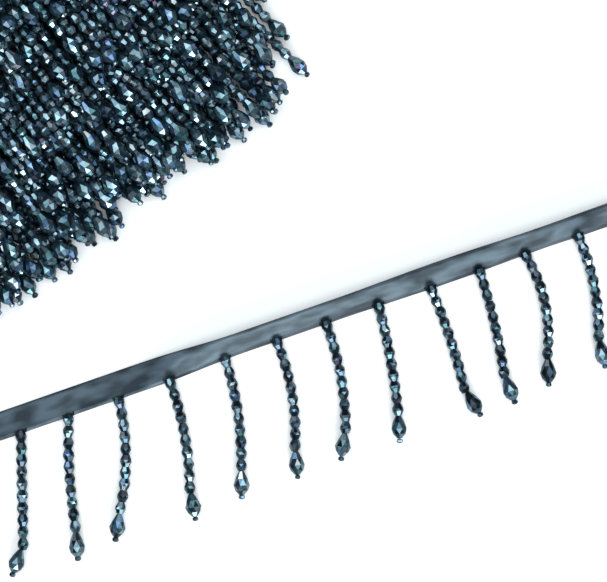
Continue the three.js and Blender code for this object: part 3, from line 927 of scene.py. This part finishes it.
loose_table = [side_strand(index) for index in range(SIDE_STRAND_COUNT)]
loose_table += [(BEND_END + along, *leans) for along, *leans in FRONT_STRANDS]
loose_set = [strand_on_route(walked, leans) for walked, *leans in loose_table]
first_root = np.array([FOLD_X + FIRST_RUN_STRAND, 0, REST_HEIGHT])
first_strand = loose_strand(first_root, -np.pi / 2, FIRST_RUN_LEANS)
loose_set.append((first_strand, first_root, np.array([1.0, 0, 0]), np.array([0, 1.0, 0])))
loose_strands, loose_roots, loose_ways, loose_inwards = map(np.array, zip(*loose_set))
print(len(loose_strands), "loose strands")

# %% [markdown]
# ## Cutting the beads
# A cut bead is a small barrel of flat facets. Two eight-sided rings, half a step apart, make a
# belt of triangles round its middle, and eight long facets run from the belt to each hole. A
# drop is cut the same way but long and pointed. Each facet stays flat, because that is where
# the sparkle comes from, so the normals are never smoothed.

# %% Bead shapes
def ring(along, radius, sides, twist):
    angles = (np.arange(sides) + twist) * 2 * np.pi / sides
    return np.stack([np.full(sides, along), radius * np.cos(angles), radius * np.sin(angles)], axis=-1)


def cut_shape(rings, sides):
    """Triangles and facet numbers of a shape through rings of (along, radius, twist)."""
    points = np.concatenate([ring(along, radius, sides, twist) for along, radius, twist in rings])
    triangles = []
    facets = []
    facet = 0
    for level in range(len(rings) - 1):
        twisted = rings[level + 1][2] - rings[level][2]
        for side in range(sides):
            a = level * sides + side
            b = level * sides + (side + 1) % sides
            c = a + sides
            d = b + sides
            if twisted > 0:
                triangles += [(a, b, c), (b, d, c)]
                facets += [facet, facet + 1]
            elif twisted < 0:
                triangles += [(a, b, d), (a, d, c)]
                facets += [facet, facet + 1]
            else:
                triangles += [(a, b, d), (a, d, c)]
                facets += [facet, facet]
            facet += 2
    last = (len(rings) - 1) * sides
    for side in range(1, sides - 1):
        triangles += [(0, side + 1, side), (last, last + side, last + side + 1)]
        facets += [facet, facet + 1]
    return points, np.array(triangles), np.array(facets)


BEAD_SIDES = 8
HALF_BEAD = BEAD_PITCH / 2 - 0.02
HALF_BELT = 0.5
BEAD_END_RADIUS = 1.3
bead_shape = cut_shape(
    [
        (-HALF_BEAD, BEAD_END_RADIUS, 0),
        (-HALF_BELT, BEAD_RADIUS, 0),
        (HALF_BELT, BEAD_RADIUS, 0.5),
        (HALF_BEAD, BEAD_END_RADIUS, 0.5),
    ],
    BEAD_SIDES,
)
drop_shape = cut_shape(
    [
        (0.0, 1.0, 0),
        (DROP_LENGTH * 0.30, 2.3, 0),
        (DROP_LENGTH * DROP_BELLY_SHARE, DROP_RADIUS, 0.5),
        (DROP_LENGTH * 0.80, 2.45, 0),
        (DROP_LENGTH * 0.99, 0.9, 0),
    ],
    BEAD_SIDES,
)
seed_shape = cut_shape(
    [
        (-0.85, 0.55, 0),
        (-0.45, SEED_RADIUS, 0),
        (0.45, SEED_RADIUS, 0),
        (0.85, 0.55, 0),
    ],
    BEAD_SIDES,
)
for shape_name, shape in [("bead", bead_shape), ("drop", drop_shape), ("seed", seed_shape)]:
    print("a", shape_name, "has", len(shape[1]), "triangles")

# %% [markdown]
# ## The colours
# The beads carry a thin metal coating whose colour shifts from facet to facet: near black, navy,
# teal and steel blue, with a hint of purple, and the pale turquoise and pale grey facets are partly
# that coating and partly painted glints. The heap is mixed with more steel blue and pale facets as
# painted light, and the loose strands with more near black as painted shade. One colour for each facet
# is stored
# on the mesh. A soft texture over the beads would run across their facets, and cut glass changes
# its colour at an edge.

# %% Facet colours
COATING_AND_GLINT_TONES = np.array([
    (0.010, 0.022, 0.034),
    (0.018, 0.046, 0.085),
    (0.034, 0.110, 0.130),
    (0.100, 0.185, 0.235),
    (0.185, 0.290, 0.350),
    (0.110, 0.215, 0.400),
    (0.080, 0.050, 0.110),
    (0.200, 0.370, 0.420),
    # pale turquoise and pale grey: partly coating colour, partly painted glints
    (0.360, 0.415, 0.450),
])
BEAD_MOODS = np.array([
    # chance of each tone, for a dark, a teal, a blue and a pale bead, and for a steel blue drop; the
    # pale bead and the drop carry painted glints
    (0.42, 0.22, 0.14, 0.11, 0.05, 0.03, 0.01, 0.02, 0.00),
    (0.16, 0.10, 0.28, 0.16, 0.10, 0.02, 0.01, 0.13, 0.04),
    (0.16, 0.16, 0.06, 0.18, 0.18, 0.16, 0.02, 0.04, 0.04),
    (0.05, 0.04, 0.06, 0.22, 0.32, 0.04, 0.01, 0.08, 0.18),
    (0.04, 0.06, 0.09, 0.18, 0.25, 0.18, 0.01, 0.13, 0.06),
])
# the heap's paler mix is painted light, and the loose strands' near black mix is painted shade
ROLLED_BEADS_PAINTED_LIGHT = (0.18, 0.18, 0.20, 0.44, 0.00)
LOOSE_BEADS_PAINTED_SHADE = (0.68, 0.18, 0.14, 0.00, 0.00)
DROP_MOODS_PAINTED_GLINTS = (0.08, 0.20, 0.10, 0.10, 0.52)
TONE_CHANGE = (0.7, 1.35)


def facet_colours(count, facets, mood_chances):
    """One colour for each triangle of each bead: the same all over a facet."""
    kinds = int(facets.max()) + 1
    moods = random.choice(len(mood_chances), count, p=mood_chances)
    chances = np.cumsum(BEAD_MOODS[moods], axis=1)
    draws = random.random((count, kinds))
    picked = (draws[:, :, None] > chances[:, None, :]).sum(axis=2)
    picked = np.minimum(picked, len(COATING_AND_GLINT_TONES) - 1)
    colours = COATING_AND_GLINT_TONES[picked] * random.uniform(*TONE_CHANGE, (count, kinds, 1))
    return np.clip(colours, 0, 1)[:, facets]


print(len(COATING_AND_GLINT_TONES), "tones for the facets")

# %% [markdown]
# ## Copies of a bead
# All beads of a kind are copies of one shape, turned along their thread and spun at random. A
# copy whose lowest corner would dip into the table is lifted onto it. Instances would be
# lighter, but a joined mesh can be exported, and arrays make it in one go.

# %% Copies of a bead
NEARLY_UPRIGHT = 0.9


def turned_axes(directions):
    """For each direction, three axes of which the first points along it, spun at random."""
    along = unit(directions)
    helper = np.where(np.abs(along[:, 2:3]) > NEARLY_UPRIGHT, [[1.0, 0, 0]], [[0, 0, 1.0]])
    side = unit(np.cross(along, helper))
    up = np.cross(along, side)
    spin = random.uniform(0, 2 * np.pi, len(along))[:, None]
    first = side * np.cos(spin) + up * np.sin(spin)
    second = -side * np.sin(spin) + up * np.cos(spin)
    return np.stack([along, first, second], axis=1)


def copies(shape, middles, directions, size_change, moods, lengths=1.0):
    points, triangles, facets = shape
    axes = turned_axes(directions)
    axes[:, 0] *= np.reshape(lengths, (-1, 1))
    sizes = 1 + random.uniform(-size_change, size_change, (len(middles), 1, 1))
    vertices = np.einsum("pk,nkc->npc", points, axes) * sizes + middles[:, None, :]
    dips = np.minimum(vertices[..., 2].min(axis=1), 0)
    vertices[..., 2] -= dips[:, None]
    numbers = triangles[None] + (np.arange(len(middles)) * len(points))[:, None, None]
    colours = facet_colours(len(middles), facets, moods)
    return vertices.reshape(-1, 3), numbers.reshape(-1, 3), colours.reshape(-1, 3)


def joined(name, parts):
    vertices = []
    faces = []
    colours = []
    offset = 0
    for part_vertices, part_faces, part_colours in parts:
        vertices.append(part_vertices)
        faces.append(part_faces + offset)
        colours.append(part_colours)
        offset += len(part_vertices)
    vertices = to_metres(np.concatenate(vertices))
    faces = np.concatenate(faces)
    colours = np.concatenate(colours)
    mesh = bpy.data.meshes.new(name)
    mesh.vertices.add(len(vertices))
    mesh.vertices.foreach_set("co", vertices.ravel())
    mesh.loops.add(len(faces) * 3)
    mesh.loops.foreach_set("vertex_index", faces.ravel().astype(np.int32))
    mesh.polygons.add(len(faces))
    mesh.polygons.foreach_set("loop_start", np.arange(0, len(faces) * 3, 3, dtype=np.int32))
    mesh.update(calc_edges=True)
    mesh.polygons.foreach_set("use_smooth", np.zeros(len(faces), dtype=bool))
    attribute = mesh.attributes.new("facet", "FLOAT_COLOR", "FACE")
    rgba = np.concatenate([colours, np.ones((len(colours), 1))], axis=1)
    attribute.data.foreach_set("color", rgba.ravel().astype(np.float32))
    mesh.validate()
    piece = bpy.data.objects.new(name, mesh)
    bpy.context.scene.collection.objects.link(piece)
    return piece


print("copies of a bead can be made and joined")

# %% [markdown]
# ## Stringing
# Each bead points along its thread, give or take a little, and is as long as its place allows.
# A drop hangs from the last bead, but it can't point down into the table.

# %% Stringing
WOBBLE = 0.06
BEAD_VARIATION = 0.04
DROP_VARIATION = 0.03
SEED_VARIATION = 0.08


def string_beads(strands, bead_moods):
    """Bead, drop and seed copies for strands given as the places of their elements."""
    beads = strands[:, :BEAD_COUNT]
    ways = np.gradient(beads, axis=1)
    pitches = np.linalg.norm(ways, axis=-1, keepdims=True)
    ways = ways / pitches + random.normal(0, WOBBLE, ways.shape)
    belly = strands[:, BEAD_COUNT + 1]
    drop_way = unit(belly - strands[:, BEAD_COUNT - 1])
    beyond_belly = DROP_LENGTH * (1 - DROP_BELLY_SHARE) + SEED_GAP
    lowest_way = (SEED_RADIUS + 3 * FLOOR_GAP - belly[:, 2]) / beyond_belly
    drop_way[:, 2] = np.maximum(drop_way[:, 2], lowest_way)
    drop_way = unit(drop_way)
    drop_top = belly - drop_way * DROP_LENGTH * DROP_BELLY_SHARE
    seeds = belly + drop_way * beyond_belly
    lengths = pitches / BEAD_PITCH
    middles = beads.reshape(-1, 3)
    ways = ways.reshape(-1, 3)
    return [
        copies(bead_shape, middles, ways, BEAD_VARIATION, bead_moods, lengths),
        copies(drop_shape, drop_top, drop_way, DROP_VARIATION, DROP_MOODS_PAINTED_GLINTS),
        copies(seed_shape, seeds, drop_way, SEED_VARIATION, bead_moods),
    ]


print("beads, drops and seeds can be strung")

# %% [markdown]
# ## The beads' finish
# Coated glass is a dark mirror with a clear skin. A metallic base in the facet's colour gives
# the tinted mirror, and a coat on top gives the white glints. Fine noise in the colour and the
# gloss keeps neighbouring facets from looking alike. Clear glass would need many bounces of
# light to look dark at its edges, so a dark matt shader is mixed in as painted shade where a
# facet is seen at a slant.

# %% Coated glass
CLOUD_SCALE = 700.0
RIM_PAINTED_SHADE = (0.004, 0.012, 0.020, 1)
RIM_BLEND = 0.55


def coated_shader(nodes, links, shader):
    """A tinted mirror under a clear coat."""
    facet = nodes.new("ShaderNodeAttribute")
    facet.attribute_name = "facet"
    place = nodes.new("ShaderNodeNewGeometry")
    cloud = nodes.new("ShaderNodeTexNoise")
    cloud.inputs["Scale"].default_value = CLOUD_SCALE
    links.new(place.outputs["Position"], cloud.inputs["Vector"])
    shade = nodes.new("ShaderNodeVectorMath")
    shade.operation = "SCALE"
    links.new(facet.outputs["Color"], shade.inputs[0])
    links.new(map_range(nodes, links, cloud.outputs["Fac"], 0.5, 1.4), shade.inputs["Scale"])
    links.new(shade.outputs["Vector"], shader.inputs["Base Color"])
    gloss = map_range(nodes, links, cloud.outputs["Fac"], 0.10, 0.30)
    links.new(gloss, shader.inputs["Roughness"])
    shader.inputs["Metallic"].default_value = 0.9
    shader.inputs["Coat Weight"].default_value = 0.5
    shader.inputs["Coat Roughness"].default_value = 0.05


def glass_material():
    material, nodes, links, shader = new_material("coated_glass")
    coated_shader(nodes, links, shader)
    # a near-black matt shader: painted shade on the facets seen at a slant
    depth = nodes.new("ShaderNodeBsdfPrincipled")
    depth.inputs["Base Color"].default_value = RIM_PAINTED_SHADE
    depth.inputs["Roughness"].default_value = 0.5
    depth.inputs["Specular IOR Level"].default_value = 0.1
    rim = nodes.new("ShaderNodeLayerWeight")
    rim.inputs["Blend"].default_value = RIM_BLEND
    mix = nodes.new("ShaderNodeMixShader")
    links.new(rim.outputs["Facing"], mix.inputs["Fac"])
    links.new(shader.outputs["BSDF"], mix.inputs[1])
    links.new(depth.outputs["BSDF"], mix.inputs[2])
    links.new(mix.outputs["Shader"], nodes["Material Output"].inputs["Surface"])
    return material


coated_glass = glass_material()
print("the glass has", len(coated_glass.node_tree.nodes), "shader nodes")

# %% [markdown]
# ## All the beads
# The heap's beads are dealt out to three pieces, strand by strand, to keep each mesh small. They
# take the place of the plain heap, and the loose beads that of the plain loose strands.

# %% All the beads
GROUPS = 3
for group in range(GROUPS):
    strung = string_beads(rolled_strands[group::GROUPS], ROLLED_BEADS_PAINTED_LIGHT)
    beads = joined(f"rolled_beads_{group + 1}", strung)
    beads.data.materials.append(coated_glass)
    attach(beads, "root")
    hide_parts("rolled_fringe")
    print(beads.name, len(beads.data.polygons), "triangles")

loose_beads = joined("loose_beads", string_beads(loose_strands, LOOSE_BEADS_PAINTED_SHADE))
loose_beads.data.materials.append(coated_glass)
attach(loose_beads, "root")
loose_nodes = [f"loose_fringe_{stretch}" for stretch in ("start", "side", "bend", "front")]
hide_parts(*loose_nodes)
print(loose_beads.name, len(loose_beads.data.polygons), "triangles")

# %% [markdown]
# ## Thread
# Each strand hangs on a dark thread, which shows between the beads where a strand bends, and as
# a few stitches over the tape's edge. A curve with a bevel would do for one, but an array makes
# all of them at once. Three sides are enough for a thread about half a millimetre thick.

# %% Thread
THREAD_RADIUS = 0.3
THREAD_TUCK = 0.4
STITCH_RADIUS = 0.42
STITCH_SPREAD = 2.3
STITCH_REACH = 1.5
STITCH_EDGE = 0.2
STITCH_GATHER = 0.8
HOLE_SHARE = 0.2
TABLE_GAP = 0.02
ODD_DIRECTION = (0.31, 0.17, 0.93)
TUBE_SIDES = 3
NOT_ZERO = 1e-9


def tubes(lines, radius):
    """Three-sided tubes along lines that all have the same number of points."""
    ways = np.gradient(lines, axis=1)
    side = unit(np.cross(ways, ODD_DIRECTION))
    up = unit(np.cross(ways, side))
    angles = np.arange(TUBE_SIDES) * 2 * np.pi / TUBE_SIDES
    corners = side[:, :, None] * np.cos(angles)[:, None] + up[:, :, None] * np.sin(angles)[:, None]
    vertices = lines[:, :, None] + radius * corners
    count, length = lines.shape[:2]
    first = np.arange(length - 1)[:, None] * TUBE_SIDES
    here = first + np.arange(TUBE_SIDES)
    beside = first + (np.arange(TUBE_SIDES) + 1) % TUBE_SIDES
    last = TUBE_SIDES * (length - 1)
    triangles = np.concatenate([
        np.stack([here, beside, beside + TUBE_SIDES], axis=-1).reshape(-1, 3),
        np.stack([here, beside + TUBE_SIDES, here + TUBE_SIDES], axis=-1).reshape(-1, 3),
        [(0, 2, 1), (last, last + 1, last + 2)],
    ])
    numbers = triangles[None] + (np.arange(count) * length * TUBE_SIDES)[:, None, None]
    colours = np.zeros((numbers.size // 3, 3))
    return vertices.reshape(-1, 3), numbers.reshape(-1, 3), colours


def thread_parts(strands, starts, ways, inwards, towards):
    """Each strand's thread and the three stitches that hold it on the tape's edge."""
    ways = unit(ways)
    inwards = unit(inwards)
    normals = unit(np.cross(ways, inwards))
    normals = normals * np.sign((normals * towards).sum(axis=-1) + NOT_ZERO)[:, None]
    raised = normals * (TAPE_THICKNESS / 2 + STITCH_RADIUS / 2)
    lines = np.concatenate([(starts + inwards * THREAD_TUCK)[:, None], strands], axis=1)
    parts = [(lines, THREAD_RADIUS)]
    for spread in (-STITCH_SPREAD, 0.0, STITCH_SPREAD):
        far = starts + inwards * STITCH_REACH + ways * spread + raised
        near = starts + inwards * STITCH_EDGE + ways * spread * STITCH_GATHER + raised
        hole = starts + (strands[:, 0] - starts) * HOLE_SHARE + raised * 2
        parts.append((np.stack([far, near, hole], axis=1), STITCH_RADIUS))
    for line, radius in parts:
        line[..., 2] = np.maximum(line[..., 2], radius + TABLE_GAP)
    return [tubes(line, radius) for line, radius in parts]


def thread_material():
    material, nodes, links, shader = new_material("dark_thread")
    twist = nodes.new("ShaderNodeTexNoise")
    twist.inputs["Scale"].default_value = 1500.0
    tone = nodes.new("ShaderNodeValToRGB")
    tone.color_ramp.elements[0].color = (0.002, 0.003, 0.005, 1)
    tone.color_ramp.elements[1].color = (0.010, 0.016, 0.022, 1)
    links.new(twist.outputs["Fac"], tone.inputs["Fac"])
    links.new(tone.outputs["Color"], shader.inputs["Base Color"])
    shader.inputs["Roughness"].default_value = 0.7
    return material


to_axis = np.array([0.0, 0.0, COIL_HALF_HEIGHT]) - roots * np.array([1.0, 0.0, 1.0])
thread_meshes = thread_parts(rolled_strands, roots, root_ways, root_inwards, to_axis)
upwards = np.zeros_like(loose_roots) + (0.0, 0.0, 1.0)
thread_meshes += thread_parts(loose_strands, loose_roots, loose_ways, loose_inwards, upwards)
threads = joined("strand_threads", thread_meshes)
threads.data.materials.append(thread_material())
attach(threads, "root")
print(threads.name, len(threads.data.polygons), "triangles")

# %% [markdown]
# ## The dressed size
# The dressed model must stay the size of the solids, so the corners of its box are printed for a last
# look.

# %% Finish
dressed_low, dressed_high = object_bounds()
for corner in (dressed_low, dressed_high):
    print("a corner of the dressed box:", [round(value, 4) for value in corner], "m")
